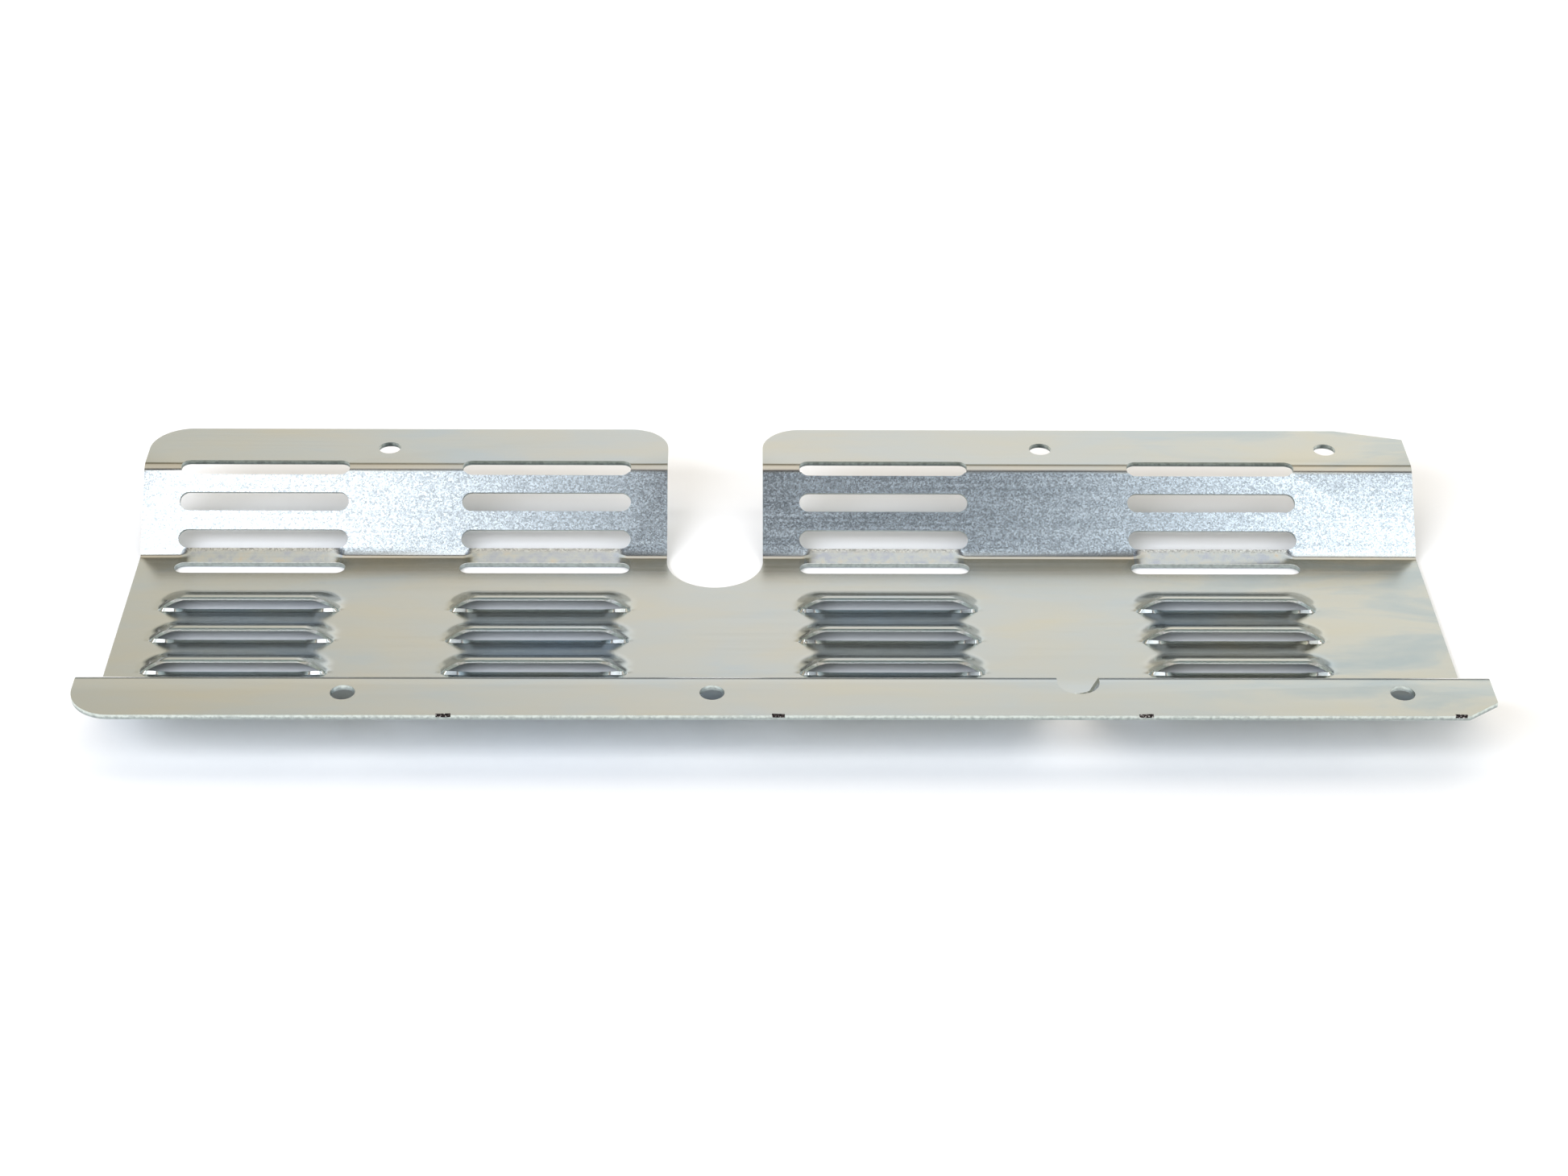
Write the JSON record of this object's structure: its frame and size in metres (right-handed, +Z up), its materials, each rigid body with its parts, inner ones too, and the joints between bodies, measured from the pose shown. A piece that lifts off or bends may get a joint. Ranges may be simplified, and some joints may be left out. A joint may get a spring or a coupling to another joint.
{
  "type": "louvred windage tray",
  "caption": "Folded steel tray with drilled flanges, a louvred trough floor, a slotted rear wall and a U-shaped notch through the rear flange.",
  "frame": {"origin": "below the middle of the outline, level with the underside of the floor", "axes": "+X along the tray, +Y from the front flange to the slotted rear wall and rear flange, +Z up out of the trough"},
  "size_m": [0.4, 0.1586, 0.0225],
  "materials": {
    "zinc_plate": "satin zinc plating on steel sheet, with pale yellow and blue passivation stains"
  },
  "bodies": {
    "root": {"rear_flange_left": "zinc_plate", "rear_flange_right": "zinc_plate", "slotted_wall_left": "zinc_plate", "slotted_wall_right": "zinc_plate", "louvred_floor": "zinc_plate", "front_wall": "zinc_plate", "front_flange": "zinc_plate"}
  },
  "joints": []
}
